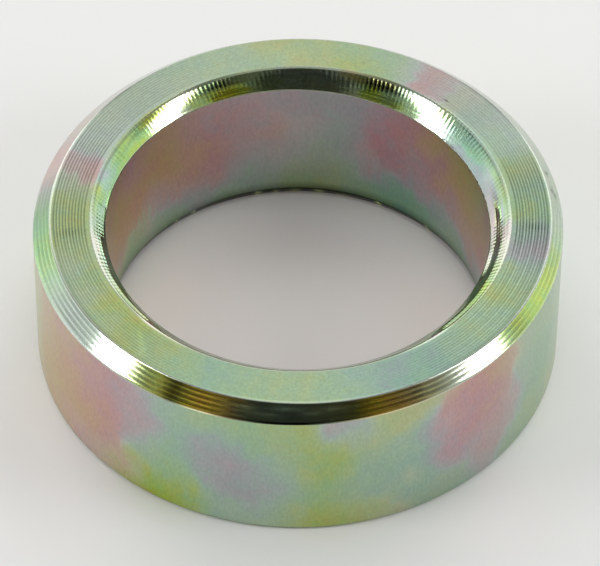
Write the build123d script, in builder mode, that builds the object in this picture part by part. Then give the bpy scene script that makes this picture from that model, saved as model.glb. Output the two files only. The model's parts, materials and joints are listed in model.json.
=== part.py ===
from build123d import *
import os

# A short turned spacer sleeve, in millimetres, standing on its lower face. The origin is the
# centre of the lower face, and +Z runs up the bore.
#
# The sleeve is turned in two chuckings. The first gives the outside, the bore and the lower
# face with its broken edges. The sleeve is then turned end for end in a chuck that runs
# slightly out, and the upper face and both of its chamfers are cut about that second axis. Each
# chamfer is therefore wider on one side of the sleeve than on the other.

# First chucking
outer_diameter = 40.0
bore_diameter = 29.0
length = 13.0
lower_outer_break = 0.2
lower_bore_break_width = 0.4
lower_bore_break_height = 0.7

# Second chucking
upper_outer_chamfer = 1.1
upper_bore_chamfer = 1.25
outer_rim_round = 0.12
bore_rim_round = 0.25
chuck_runout = 0.2

# The burred edges where the upper chamfers meet the walls are only just broken
chamfer_edge_round = 0.12

# How far the cuts of the second chucking run past the walls that they meet
tool_overrun = 1.0

outer_radius = outer_diameter / 2
bore_radius = bore_diameter / 2
cut_reach = chuck_runout + tool_overrun

with BuildPart() as spacer_sleeve:
    # First chucking: the section runs round from the lower face to the bore
    with BuildSketch(Plane.XZ):
        with BuildLine():
            Polyline(
                (bore_radius + lower_bore_break_width, 0),
                (outer_radius - lower_outer_break, 0),
                (outer_radius, lower_outer_break),
                (outer_radius, length),
                (bore_radius, length),
                (bore_radius, lower_bore_break_height),
                close=True,
            )
        make_face()
    revolve(axis=Axis.Z)

    # Second chucking: what the cuts leave is the upper face between two 45 degree chamfers,
    # with a slightly rounded rim at each, the outer one the crisper. Both chamfers run past
    # the walls.
    second_axis = Axis((chuck_runout, 0, 0), (0, 0, 1))
    with BuildSketch(Plane.XZ.shift_origin(second_axis.position)) as second_section:
        with BuildLine():
            Polyline(
                (bore_radius + upper_bore_chamfer, length),
                (outer_radius - upper_outer_chamfer, length),
                (outer_radius + cut_reach, length - upper_outer_chamfer - cut_reach),
                (outer_radius + cut_reach, -cut_reach),
                (bore_radius - cut_reach, -cut_reach),
                (bore_radius - cut_reach, length - upper_bore_chamfer - cut_reach),
                close=True,
            )
        make_face()
        fillet(second_section.vertices().group_by(Axis.Y)[-1].sort_by(Axis.X)[0], radius=bore_rim_round)
        fillet(second_section.vertices().group_by(Axis.Y)[-1].sort_by(Axis.X)[-1], radius=outer_rim_round)
    revolve(axis=second_axis, mode=Mode.INTERSECT)

    # Both upper chamfers meet their walls in edges that rise and fall round the sleeve
    walls = spacer_sleeve.faces().filter_by(GeomType.CYLINDER)
    chamfer_edges = [wall.edges().sort_by(Axis.Z)[-1] for wall in walls]
    fillet(chamfer_edges, radius=chamfer_edge_round)

spacer_sleeve.part.label = "spacer_sleeve"

os.makedirs("parts", exist_ok=True)
export_step(spacer_sleeve.part, "parts/spacer_sleeve.step")
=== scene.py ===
import json
import logging
import math
from dataclasses import dataclass
from enum import Enum

import bpy
import numpy as np
from mathutils import Matrix, Vector


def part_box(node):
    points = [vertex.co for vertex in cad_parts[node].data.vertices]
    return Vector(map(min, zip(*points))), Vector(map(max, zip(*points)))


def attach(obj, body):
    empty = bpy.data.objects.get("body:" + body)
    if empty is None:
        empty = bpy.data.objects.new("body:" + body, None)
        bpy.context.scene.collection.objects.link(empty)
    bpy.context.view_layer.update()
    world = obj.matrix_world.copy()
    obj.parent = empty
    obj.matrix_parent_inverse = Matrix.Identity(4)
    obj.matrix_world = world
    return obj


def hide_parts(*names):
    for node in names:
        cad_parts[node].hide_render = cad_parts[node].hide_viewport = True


# A turned spacer sleeve, zinc plated and yellow chromate passivated, standing on a pale floor.
#
# Angles round the sleeve are in degrees from the front (-Y), and grow anticlockwise as seen
# from above: 90 is the right-hand side (+X), 180 the back and 270 the left. Sizes are in
# millimetres until the mesh is written, which is in metres.

MM = 0.001
NODE = "spacer_sleeve"
BODY = "root"
SLOPE = math.sqrt(0.5)  # The sine, and the cosine, of the chamfers' 45 degrees
ALL = 1e3  # The reach of a stain that is even over its whole zone
NOISE_PEAK = 1.6  # Scales the noise round the sleeve to about -1 to 1
NOISE_TERMS = 24
FORM_SAMPLES = 401
TINY = 1e-9  # Keeps the ring on a crest in the mark that starts there

log = logging.getLogger(NODE)
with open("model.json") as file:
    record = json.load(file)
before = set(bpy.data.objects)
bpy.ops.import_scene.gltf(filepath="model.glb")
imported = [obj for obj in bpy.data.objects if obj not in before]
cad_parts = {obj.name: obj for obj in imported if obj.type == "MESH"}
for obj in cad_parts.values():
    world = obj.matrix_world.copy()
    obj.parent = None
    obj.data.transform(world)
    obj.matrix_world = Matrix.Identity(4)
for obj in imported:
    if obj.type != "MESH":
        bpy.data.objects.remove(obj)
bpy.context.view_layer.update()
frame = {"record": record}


# ----------------------------------------------------------------------------- small helpers


def linear(code: str) -> tuple[float, float, float, float]:
    """Turns an sRGB hex colour to the linear values that Blender's sockets hold.

    Args:
        code: The colour as six hex digits.

    Returns:
        Linear red, green and blue, and an alpha of 1.
    """
    parts = [int(code[i:i + 2], 16) / 255 for i in (0, 2, 4)]
    red, green, blue = (c / 12.92 if c <= 0.04045 else ((c + 0.055) / 1.055) ** 2.4 for c in parts)
    return red, green, blue, 1.0


def add_node(tree: bpy.types.NodeTree, kind: str, settings: dict | None = None,
             links: dict | None = None) -> bpy.types.Node:
    """Adds one node to a tree, with its settings, socket values and incoming links.

    Args:
        tree: The node tree that the node goes into.
        kind: The node's type name, such as "ShaderNodeMath".
        settings: Node properties by name, such as {"operation": "ADD"}.
        links: What each input gets, by socket name or index: a socket to link, or a value.

    Returns:
        The new node.
    """
    node = tree.nodes.new(kind)
    for name, value in (settings or {}).items():
        setattr(node, name, value)
    for key, value in (links or {}).items():
        if isinstance(value, bpy.types.NodeSocket):
            tree.links.new(value, node.inputs[key])
        else:
            node.inputs[key].default_value = value
    return node


def blank_material(name: str) -> bpy.types.Material:
    """Adds a material with no nodes.

    Args:
        name: Its name.

    Returns:
        The material.
    """
    material = bpy.data.materials.new(name)
    material.use_nodes = True
    material.node_tree.nodes.clear()
    return material


def sheet(name: str, wide: float, high: float) -> bpy.types.Object:
    """Adds a flat rectangle, centred on the origin and facing +Z, to the scene.

    Args:
        name: Its name.
        wide: Its size along X, in metres.
        high: Its size along Y, in metres.

    Returns:
        The rectangle's object.
    """
    x, y = wide / 2, high / 2
    mesh = bpy.data.meshes.new(name)
    mesh.from_pydata([(-x, -y, 0), (x, -y, 0), (x, y, 0), (-x, y, 0)], [], [(0, 1, 2, 3)])
    piece = bpy.data.objects.new(name, mesh)
    bpy.context.scene.collection.objects.link(piece)
    return piece


def around(angle: np.ndarray | float) -> tuple[np.ndarray, np.ndarray]:
    """Gives the outward direction at an angle round the sleeve.

    Args:
        angle: Degrees from the front, anticlockwise from above.

    Returns:
        The direction's X and Y: the sine of the angle, and minus its cosine.
    """
    turn = np.radians(angle)
    return np.sin(turn), -np.cos(turn)


def angle_between(angle: np.ndarray, other: float) -> np.ndarray:
    """Gives the shortest signed turn from one angle to another, in degrees."""
    return (angle - other + 180.0) % 360.0 - 180.0


def bell(offset: np.ndarray, reach: float) -> np.ndarray:
    """Gives exp(-(offset / reach)^2), which is 1 at no offset and fades past the reach."""
    return np.exp(-(offset / reach) ** 2)


def soft_step(offset: np.ndarray, reach: float) -> np.ndarray:
    """Gives 1 / (1 + exp(-offset / reach)), which rises from 0 to 1 about no offset."""
    return 1 / (1 + np.exp(-offset / reach))


@dataclass(frozen=True)
class Noise:
    """A smooth random value round the sleeve that closes on itself.

    Attributes:
        waves: The highest frequency, in waves a turn.
        seed: Fixes the random phases.
    """

    waves: int
    seed: int

    def at(self, angle: np.ndarray) -> np.ndarray:
        """Gives the value at each angle.

        It is a sum of cosines of whole-numbered frequencies, each with a random phase and an
        amplitude that falls with the frequency.

        Args:
            angle: Degrees round the sleeve.

        Returns:
            One value for each angle, from about -1 to 1.
        """
        random = np.random.default_rng(self.seed)
        order = np.arange(1, self.waves + 1)
        phase = random.uniform(0, 2 * np.pi, self.waves)
        size = random.uniform(0.4, 1.0, self.waves) / np.sqrt(order)
        turn = np.radians(angle)[..., None] * order + phase
        return (np.cos(turn) * size).sum(-1) / np.sqrt((size ** 2).sum()) / NOISE_PEAK

    def over(self, angle: np.ndarray, across: np.ndarray) -> np.ndarray:
        """Gives the value at each point of a zone.

        It is a sum of cosines, each of a whole number of waves round the sleeve and of up to
        three waves across the zone.

        Args:
            angle: Degrees round the sleeve.
            across: The place across the zone, from 0 to 1.

        Returns:
            One value for each point, from about -1 to 1.
        """
        random = np.random.default_rng(self.seed)
        total, steepest = np.zeros(angle.shape), 6 * np.pi
        for order in random.integers(self.waves // 5 + 1, self.waves + 1, NOISE_TERMS):
            lean, phase = random.uniform(-steepest, steepest), random.uniform(0, 2 * np.pi)
            total = total + np.cos(np.radians(angle) * order + lean * across + phase)
        return total / math.sqrt(NOISE_TERMS)


# ------------------------------------------------------------------------------- the surface


class Zone(Enum):
    """The turned surfaces of the sleeve, each with its own tool marks and film."""

    BORE = "bore"
    BORE_CHAMFER = "bore_chamfer"
    UPPER_FACE = "upper_face"
    OUTER_CHAMFER = "outer_chamfer"
    OUTSIDE = "outside"
    LOWER_FACE = "lower_face"
    LOWER_BREAK = "lower_break"


@dataclass(frozen=True)
class SleeveSizes:
    """The sleeve's sizes in millimetres, of which the first three come from the frame."""

    outer_radius: float
    bore_radius: float
    length: float
    lower_outer_break: float = 0.2
    lower_bore_break_width: float = 0.4
    lower_bore_break_height: float = 0.7
    upper_outer_chamfer: float = 1.1
    upper_bore_chamfer: float = 1.25
    outer_rim_round: float = 0.12
    bore_rim_round: float = 0.25
    edge_round: float = 0.12
    chuck_runout: float = 0.2

    @classmethod
    def from_frame(cls) -> "SleeveSizes":
        """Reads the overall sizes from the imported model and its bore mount.

        Returns:
            The sleeve's sizes.
        """
        low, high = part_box(NODE)
        bore = next(m for m in frame["record"]["mounts"] if m["name"] == "bore")
        return cls((high[0] - low[0]) / 2 / MM, bore["dims"]["r_mm"], (high[2] - low[2]) / MM)

    @property
    def bore_rim(self) -> float:
        """The inner radius of the upper face about the second axis."""
        return self.bore_radius + self.upper_bore_chamfer

    @property
    def outer_rim(self) -> float:
        """The outer radius of the upper face about the second axis."""
        return self.outer_radius - self.upper_outer_chamfer

    @property
    def edge_cut(self) -> float:
        """How far the rounds between chamfers and walls reach along each side."""
        return self.cut(self.edge_round)

    @staticmethod
    def cut(radius: float) -> float:
        """Gives how far an edge's round reaches along each side, twice a true arc's reach."""
        return 2 * radius * math.tan(math.radians(22.5))


@dataclass(frozen=True)
class ToolMarks:
    """The marks that the lathe tools left, in millimetres and degrees.

    Shares are of the width of the zone. A swell is an angle, a reach in degrees and a gain.
    """

    # Facing marks: hollows between crests, counted from the upper face's inner rim
    facing_pitch: float = 0.232
    facing_depth: float = 0.0076
    facing_start: float = 0.42
    facing_swell: float = 0.4
    facing_lean: float = 0.22
    facing_uneven: float = 0.35
    facing_beat: float = 2.4
    facing_noise: Noise = Noise(9, 11)
    # Ridges on the outer chamfer, counted from the upper face's outer rim
    ridge_pitch: float = 0.38
    ridge_start: float = 0.08
    ridge_depth: float = 0.012
    ridge_fade: float = 0.06
    ridge_noise: Noise = Noise(14, 21)
    # How deep the facing marks and ridges are on the whole, and how far that wanders
    usual_depth: float = 0.85
    wander: float = 0.3
    # Chatter on the bore chamfer and its rim
    chatter_marks: int = 266
    chatter_depth: float = 0.008
    chatter_floor: float = 0.3
    chatter_reach: float = 0.8
    chatter_spread: float = 0.3
    chatter_fade: float = 0.15
    chatter_start: float = 0.08
    chatter_lean: float = 70.0
    chatter_wander: float = 170.0
    chatter_usual: float = 0.8
    chatter_uneven: float = 0.75
    chatter_break: float = 0.27
    chatter_break_wander: float = 200.0
    chatter_break_share: float = 0.25
    chatter_break_depth: float = 0.3
    chatter_swells: tuple[tuple[float, float, float], ...] = (
        (82.0, 14.0, 1.2), (141.0, 13.0, -0.8), (157.0, 7.0, 0.7), (180.0, 12.0, -0.3),
        (202.0, 8.0, 0.6), (219.0, 13.0, -0.8), (284.0, 12.0, 0.2), (304.0, 20.0, -0.65),
        (40.0, 22.0, -0.55),
    )
    depth_noise: Noise = Noise(60, 3)
    phase_noise: Noise = Noise(60, 4)
    break_noise: Noise = Noise(90, 5)
    rim_chatter: float = 1.4
    rim_profile: tuple[float, float, float] = (0.75, 0.45, 0.15)
    # A scored line round the bore chamfer, and a nick across its lower part
    score_place: float = 1.38
    score_reach: float = 0.06
    score_depth: float = 0.007
    nick_angle: float = 264.3
    nick_reach: float = 0.4
    nick_depth: float = 0.012
    nick_top: float = 0.6
    nick_fade: float = 0.05
    # The burr under the bore chamfer is largest on the right-hand back quarter
    burr_height: float = 0.05
    burr_angle: float = 122.0
    burr_reach: float = 26.0
    burr_least: float = 0.25
    burr_usual: float = 0.45
    burr_uneven: float = 0.7
    burr_most: float = 1.2
    burr_profile: tuple[float, float, float] = (0.7, 1.0, 0.6)
    burr_noise: Noise = Noise(220, 31)
    # Ragged edges: the upper face's outer rim, and the top of the lower break
    rim_drop: float = 0.016
    rim_noise: Noise = Noise(186, 71)
    foot_drop: float = 0.1
    foot_noise: Noise = Noise(180, 61)


@dataclass(frozen=True)
class ChamferForm:
    """The bore chamfer's section at one place round the sleeve.

    Attributes:
        angle: Degrees round the sleeve.
        reach: How far the form reaches round the sleeve, in degrees.
        places: Places across the chamfer, from 0 at the bore to 1 at the upper face.
        leans: How flat the section lies at each place, in degrees. Only their differences
            count, because both ends of the section stay on the cone.
    """

    angle: float
    reach: float
    places: tuple[float, ...]
    leans: tuple[float, ...]


CHAMFER_FORMS = tuple(ChamferForm(*row) for row in (
    (12, 18, (0, .5, .8, 1), (1, -1, -1, 3)),
    (36, 5, (0, .4, .8, 1), (-1, -1, -1, 2)),
    (47, 5, (0, .3, .57, .67, .77, 1), (-8, -7, -6, 3, 18, 21)),
    (55, 5, (0, .25, .5, .66, .76, 1), (-5, -5, -4, 2, 17, 20)),
    (63, 4.6, (0, .13, .28, .55, .66, .75, 1), (-8, -7, -2, -1, 3, 14, 17)),
    (73.5, 6.2, (0, .2, .3, .45, .62, .72, 1), (12, 12, -6, -14, -10, 10, 13)),
    (84, 6, (0, .17, .25, .33, .62, .72, .8, 1), (5, 5, 2, -2, -2, 3, 6, 11)),
    (94, 6, (0, .17, .25, .33, .6, .7, .8, 1), (4, 3, -3, -8, -7, 0, 4, 9)),
    (106, 8, (0, .1, .2, .6, .8, 1), (1, 5, 1, -1, 0, 5)),
    (145, 32, (0, .25, .5, .75, 1), (-6, -4, -1, 4, 11)),
    (180, 25, (0, .25, .5, .75, 1), (-4, -3, -1, 2, 8)),
    (215, 32, (0, .25, .5, .75, 1), (-6, -4, -1, 4, 11)),
    (267, 9, (0, .1, .2, .5, .8, 1), (-4, 0, 3, 1, 3, 6)),
    (286, 7, (0, .32, .47, .57, .72, 1), (-8, -7, -1, 8, 9.5, 12)),
    (297, 5, (0, .3, .53, .64, .74, 1), (-6, -5, -3, 4, 15, 18)),
    (309, 5.5, (0, .3, .58, .68, .78, 1), (-7, -7, -6, 4, 18, 21)),
    (321, 5, (0, .4, .8, 1), (-1, -1, -1, 2)),
    (344, 20, (0, .5, .8, 1), (1, -1, -1, 3)),
))


@dataclass(frozen=True)
class Band:
    """Rings of points on one zone, from the bore outwards over the top.

    Attributes:
        zone: The surface that the rings lie on.
        points: The points, as rings by columns by XYZ, in millimetres.
        across: Each ring's place across its zone, from 0 to 1, or one place for all.
        worn: How far the film is rubbed thin, from 0 to 1, as it is at the edges.
        hollow: How deep each point lies in its tool mark, from 0 on a cusp to 1.
    """

    zone: Zone
    points: np.ndarray
    across: np.ndarray | float
    worn: float = 0.0
    hollow: np.ndarray | float = 0.0


@dataclass(frozen=True)
class TurnedSleeve:
    """The sleeve's surface with its tool marks, as bands of rings joined into one shell.

    The upper face and both upper chamfers are turned about a second axis, which stands
    chuck_runout along +X from the axis of the bore and the outside.

    Attributes:
        sizes: The sleeve's sizes.
        marks: The tool marks.
        columns: Points round a plain ring.
        split: How many times more points the chattered bore chamfer has round it.
        bore_rings: Rings on the bore, with one more close to each end. The outside and the
            lower face have one more at each end too, but the two chamfers don't.
        rim_rings: Rings on the plain part of the upper face at each rim, ends included.
        edge_rings: Rings on the round of an edge, where crisp_rings is for the outer rim.
        facing_rows: Where the rings lie between two crests of the facing marks.
    """

    sizes: SleeveSizes
    marks: ToolMarks
    columns: int = 372
    split: int = 4
    bore_rings: int = 14
    chamfer_rings: int = 23
    ridge_rings: int = 28
    outside_rings: int = 16
    lower_rings: int = 8
    rim_rings: int = 4
    edge_rings: int = 3
    crisp_rings: int = 4
    facing_rows: tuple[float, ...] = (0.0, 0.16, 0.38, 0.62, 0.84)

    @property
    def coarse(self) -> np.ndarray:
        """The angles of a plain ring's points about the second axis, in degrees."""
        return np.arange(self.columns) * 360.0 / self.columns

    @property
    def fine(self) -> np.ndarray:
        """The angles of a bore chamfer ring's points about the second axis, in degrees."""
        count = self.columns * self.split
        return np.arange(count) * 360.0 / count

    def meet(self, radius: float, angle: np.ndarray) -> np.ndarray:
        """Gives the distance from the second axis at which a ray meets a wall.

        A point at distance d along the ray lies at (runout + d sin a, -d cos a). Its distance
        from the first axis is the wall's radius where
        d = sqrt(radius^2 - (runout cos a)^2) - runout sin a.

        Args:
            radius: The wall's radius about the first axis.
            angle: The rays' angles about the second axis.

        Returns:
            One distance for each ray.
        """
        sine, cosine = around(angle)
        runout = self.sizes.chuck_runout
        return np.sqrt(radius ** 2 - (runout * cosine) ** 2) - runout * sine

    def second(self, distance: np.ndarray | float, height: np.ndarray | float,
               angle: np.ndarray) -> np.ndarray:
        """Places points about the second axis, at (runout + d sin a, -d cos a, height).

        Args:
            distance: The points' distance from the second axis.
            height: Their height.
            angle: Their angles about that axis.

        Returns:
            The points, as rings by columns by XYZ.
        """
        x, y = around(angle)
        distance, height, _ = np.broadcast_arrays(distance, height, angle)
        return np.stack([self.sizes.chuck_runout + distance * x, distance * y, height], -1)

    def wall(self, radius: np.ndarray | float, height: np.ndarray | float, angle: np.ndarray,
             wall_radius: float) -> np.ndarray:
        """Places points on a wall about the first axis.

        Each column stands where its ray from the second axis meets the wall, so that the
        columns of the walls and of the chamfers join.

        Args:
            radius: The points' distance from the first axis.
            height: The points' height.
            angle: The columns' angles about the second axis.
            wall_radius: The radius of the wall that sets the columns' places.

        Returns:
            The points, as rings by columns by XYZ.
        """
        x, y = around(angle)
        reach = self.meet(wall_radius, angle)
        unit_x = (self.sizes.chuck_runout + reach * x) / wall_radius
        unit_y = reach * y / wall_radius
        radius, height, _ = np.broadcast_arrays(radius, height, angle)
        return np.stack([radius * unit_x, radius * unit_y, height], -1)

    @staticmethod
    def steps(count: int, edge: float = 0.01) -> np.ndarray:
        """Gives evenly spaced shares from 0 to 1, with one more close to each end."""
        return np.concatenate([[0.0, edge], np.linspace(0, 1, count)[1:-1], [1 - edge, 1.0]])

    @staticmethod
    def corner(first: np.ndarray, tip: np.ndarray, last: np.ndarray, count: int) -> np.ndarray:
        """Rounds a corner between two rings with a quadratic curve.

        A point at share t is (1 - t)^2 first + 2 t (1 - t) tip + t^2 last. The two ends are
        left out, because the bands beside the corner hold them.

        Args:
            first: The ring before the corner.
            tip: The sharp corner.
            last: The ring after it.
            count: How many rings the round gets.

        Returns:
            The rings of the round.
        """
        share = np.linspace(0, 1, count + 2)[1:-1, None, None]
        return (1 - share) ** 2 * first + 2 * share * (1 - share) * tip + share ** 2 * last

    def bore_band(self) -> Band:
        """Makes the bore's wall, from its lower break up to the chamfer's rounded edge.

        Returns:
            The bore's band.
        """
        size, angle = self.sizes, self.coarse
        top = size.length - (size.bore_rim - self.meet(size.bore_radius, angle)) - size.edge_cut
        share = self.steps(self.bore_rings)[:, None]
        height = size.lower_bore_break_height + size.edge_cut * (1 - share)
        height = height + share * (top - size.lower_bore_break_height)
        points = self.wall(size.bore_radius, height, angle, size.bore_radius)
        return Band(Zone.BORE, points, share[:, 0])

    def tool_form(self, share: np.ndarray, angle: np.ndarray) -> np.ndarray:
        """Gives how far the bore chamfer's surface stands off a straight 45 degree cone.

        The tool's edge wasn't straight, and the sleeve gave a little under it, so the section
        changes round the sleeve. It is a mean of the forms in CHAMFER_FORMS, each weighted by
        exp(-(turn / reach)^2). A form stands off by the integral of its lean, with its two
        ends held on the cone.

        Args:
            share: The place across the chamfer, from 0 at the bore to 1 at the upper face.
            angle: The columns' angles about the second axis.

        Returns:
            The height normal to the cone, as a share of the chamfer's width.
        """
        reach = np.linspace(0.0, 1.0, FORM_SAMPLES)
        total, weights = np.zeros(np.broadcast(share, angle).shape), 0.0
        for form in CHAMFER_FORMS:
            lean = np.interp(reach, form.places, form.leans)
            rise = np.concatenate([[0.0], np.cumsum(np.tan(np.radians(lean[:-1])))]) * reach[1]
            weight = bell(angle_between(angle, form.angle), form.reach)
            total = total + weight * np.interp(share, reach, reach * rise[-1] - rise)
            weights = weights + weight
        return total / weights

    def chatter(self, slant: np.ndarray | float, angle: np.ndarray) -> np.ndarray:
        """Gives how deep the tool's chatter cut into the bore's chamfer and its rim.

        The marks are a wave round the cone: the sine of chatter_marks times the angle, leaning
        a little down the cone. They are strongest near the face, and swell or fade round the
        sleeve. A finer wave down the cone breaks them up.

        Args:
            slant: The distance from the upper face's rim along the cone, in millimetres.
            angle: The columns' angles about the second axis.

        Returns:
            The depth normal to the cone, in millimetres.
        """
        marks = self.marks
        swell = 1 + sum(gain * bell(angle_between(angle, place), reach)
                        for place, reach, gain in marks.chatter_swells)
        depth = marks.chatter_reach + marks.chatter_spread * swell
        near = soft_step(depth - slant, marks.chatter_fade)
        strength = marks.chatter_floor + (1 - marks.chatter_floor) * near
        uneven = marks.chatter_usual + marks.chatter_uneven * marks.depth_noise.at(angle)
        lean = marks.chatter_lean * slant + marks.chatter_wander * marks.phase_noise.at(angle)
        wave = np.sin(np.radians(angle * marks.chatter_marks + lean))
        shift = marks.chatter_break_wander * marks.break_noise.at(angle)
        broken = np.sin(np.radians(slant / marks.chatter_break * 360 + shift))
        wave = wave * (1 - marks.chatter_break_share * (1 - broken))
        form = 1 - wave + marks.chatter_break_depth * broken
        return marks.chatter_depth * strength * swell * uneven * form

    def bore_chamfer_band(self) -> Band:
        """Makes the bore's chamfer, with the tool's form, its chatter, a scored line and a nick.

        Returns:
            The chamfer's band.
        """
        size, marks, angle = self.sizes, self.marks, self.fine
        low = self.meet(size.bore_radius, angle) + size.edge_cut * SLOPE
        high = size.bore_rim - size.cut(size.bore_rim_round) * SLOPE
        share = np.linspace(0, 1, self.chamfer_rings)[:, None]
        distance = low + share * (high - low)
        slant = (size.bore_rim - distance) / SLOPE
        chatter = self.chatter(slant, angle)
        lift = -chatter * np.clip(share / marks.chatter_start, 0, 1)
        lift = lift - marks.score_depth * bell(slant - marks.score_place, marks.score_reach)
        lift = lift + self.tool_form(share, angle) * (high - low) / SLOPE
        nick = bell(angle - marks.nick_angle, marks.nick_reach)
        lift = lift - marks.nick_depth * nick * soft_step(marks.nick_top - share, marks.nick_fade)
        height = size.length - (size.bore_rim - distance)
        points = self.second(distance - lift * SLOPE, height + lift * SLOPE, angle)
        hollow = np.clip(chatter / (2 * marks.chatter_depth), 0, 1)
        return Band(Zone.BORE_CHAMFER, points, share[:, 0], hollow=hollow)

    def face_band(self) -> Band:
        """Makes the upper face with its facing marks.

        Between two crests the face is a shallow hollow: depth times sin^2(pi f), where f
        runs from 0 to 1 across the pitch. Neighbouring marks differ in depth, and all of them
        are deeper at the back and on the right, and wander round the sleeve.

        Returns:
            The face's band.
        """
        size, marks, angle = self.sizes, self.marks, self.coarse
        low = size.bore_rim + size.cut(size.bore_rim_round)
        high = size.outer_rim - size.cut(size.outer_rim_round)
        first = size.bore_rim + marks.facing_start
        count = int((high - first) / marks.facing_pitch)
        share = np.append((np.arange(count)[:, None] + self.facing_rows).ravel(), count)
        inner = np.linspace(low, first, self.rim_rings)[:-1]
        outer = np.linspace(first + count * marks.facing_pitch, high, self.rim_rings)[1:]
        distance = np.concatenate([inner, first + share * marks.facing_pitch, outer])[:, None]
        place = (distance - first) / marks.facing_pitch
        mark = np.floor(place + TINY)
        hollow = np.sin(np.pi * (place - mark)) ** 2 * ((place >= 0) & (place <= count))
        each = 1 + marks.facing_uneven * np.sin(mark * marks.facing_beat)
        x, y = around(angle)
        swell = 1 + marks.facing_swell * y + marks.facing_lean * x
        wander = marks.usual_depth + marks.wander * marks.facing_noise.at(angle)
        drop = marks.facing_depth * hollow * each * wander * swell
        points = self.second(distance, size.length - drop, angle)
        return Band(Zone.UPPER_FACE, points, (distance[:, 0] - low) / (high - low), hollow=hollow)

    def outer_chamfer_band(self) -> Band:
        """Makes the outer chamfer with its turned ridges.

        Each ridge's hollow has the depth times 1 - (2 f - 1)^2, where f runs from 0 to 1
        across the pitch. They are counted from the face's rim about the second axis.

        Returns:
            The chamfer's band.
        """
        size, marks, angle = self.sizes, self.marks, self.coarse
        low = size.outer_rim + size.cut(size.outer_rim_round) * SLOPE
        high = self.meet(size.outer_radius, angle) - size.edge_cut * SLOPE
        share = np.linspace(0, 1, self.ridge_rings)[:, None]
        distance = low + share * (high - low)
        place = ((distance - size.outer_rim) / SLOPE - marks.ridge_start) / marks.ridge_pitch
        part = place - np.floor(place)
        fade = np.clip(np.minimum(share, 1 - share) / marks.ridge_fade, 0, 1)
        hollow = (1 - (2 * part - 1) ** 2) * fade
        wander = marks.usual_depth + marks.wander * marks.ridge_noise.at(angle)
        drop = marks.ridge_depth * hollow * wander
        height = size.length - (distance - size.outer_rim)
        points = self.second(distance - drop * SLOPE, height - drop * SLOPE, angle)
        return Band(Zone.OUTER_CHAMFER, points, share[:, 0], hollow=hollow)

    def outside_band(self) -> Band:
        """Makes the outside wall, from the chamfer's rounded edge down to the lower break.

        Returns:
            The outside's band.
        """
        size, angle = self.sizes, self.coarse
        top = size.length - (self.meet(size.outer_radius, angle) - size.outer_rim) - size.edge_cut
        share = self.steps(self.outside_rings)[:, None]
        foot = size.lower_outer_break + size.edge_cut
        points = self.wall(size.outer_radius, top + share * (foot - top), angle, size.outer_radius)
        return Band(Zone.OUTSIDE, points, share[:, 0])

    def lower_band(self) -> Band:
        """Makes the lower face, whose first ring is also the foot of the outer break.

        Returns:
            The lower face's band.
        """
        size = self.sizes
        width = self.steps(self.lower_rings)
        outer = size.outer_radius - size.lower_outer_break
        inner = size.bore_radius + size.lower_bore_break_width
        radius = outer + width * (inner - outer)
        flat = self.wall(radius[:, None], 0.0, self.coarse, size.outer_radius)
        return Band(Zone.LOWER_FACE, flat, width)

    def lower_break_band(self) -> Band:
        """Makes the steep break between the lower face and the bore, ragged along its top.

        Returns:
            The break's band.
        """
        size, marks, angle = self.sizes, self.marks, self.coarse
        share = self.steps(5, 0.04)[1:-1, None]
        radius = size.bore_radius + (1 - share) * size.lower_bore_break_width
        ragged = marks.foot_drop * share * np.clip(marks.foot_noise.at(angle), 0, 1)
        height = share * size.lower_bore_break_height - ragged
        points = self.wall(radius, height, angle, size.bore_radius)
        return Band(Zone.LOWER_BREAK, points, share[:, 0])

    def bands(self) -> list[Band]:
        """Makes every band in order round the section, with the corners between them.

        Returns:
            The bands, from the bore over the top and back under the lower face.
        """
        size, marks, coarse, fine = self.sizes, self.marks, self.coarse, self.fine
        chamfer, face = self.bore_chamfer_band(), self.face_band()
        outer, outside = self.outer_chamfer_band(), self.outside_band()

        start = self.meet(size.bore_radius, fine)
        edge = size.length - (size.bore_rim - start)
        foot = self.wall(size.bore_radius, edge - size.edge_cut, fine, size.bore_radius)
        tip = self.second(start, edge, fine)
        lip = self.corner(foot, tip, chamfer.points[0], self.edge_rings)

        tip = self.second(size.bore_rim, size.length, fine)
        top = self.second(size.bore_rim + size.cut(size.bore_rim_round), size.length, fine)
        inner_rim = self.corner(chamfer.points[-1], tip, top, self.edge_rings)
        fade = np.array(marks.rim_profile)[:, None]
        inner_rim[..., 2] -= fade * self.chatter(0.0, fine) * marks.rim_chatter

        tip = self.second(size.outer_rim, size.length, coarse)
        outer_rim = self.corner(face.points[-1], tip, outer.points[0], self.crisp_rings)
        outer_rim[..., 2] -= marks.rim_drop * np.clip(marks.rim_noise.at(coarse), 0, 1)

        meet = self.meet(size.outer_radius, coarse)
        tip = self.second(meet, size.length - (meet - size.outer_rim), coarse)
        outer_edge = self.corner(outer.points[-1], tip, outside.points[0], self.edge_rings)
        return [
            self.bore_band(),
            Band(Zone.BORE_CHAMFER, self.raise_burr(lip), 0.0, worn=0.5),
            chamfer,
            Band(Zone.BORE_CHAMFER, inner_rim, 1.0, worn=0.35),
            face,
            Band(Zone.UPPER_FACE, outer_rim, 1.0, worn=0.6),
            outer,
            Band(Zone.OUTER_CHAMFER, outer_edge, 1.0, worn=0.4),
            outside,
            self.lower_band(),
            self.lower_break_band(),
        ]

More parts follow.
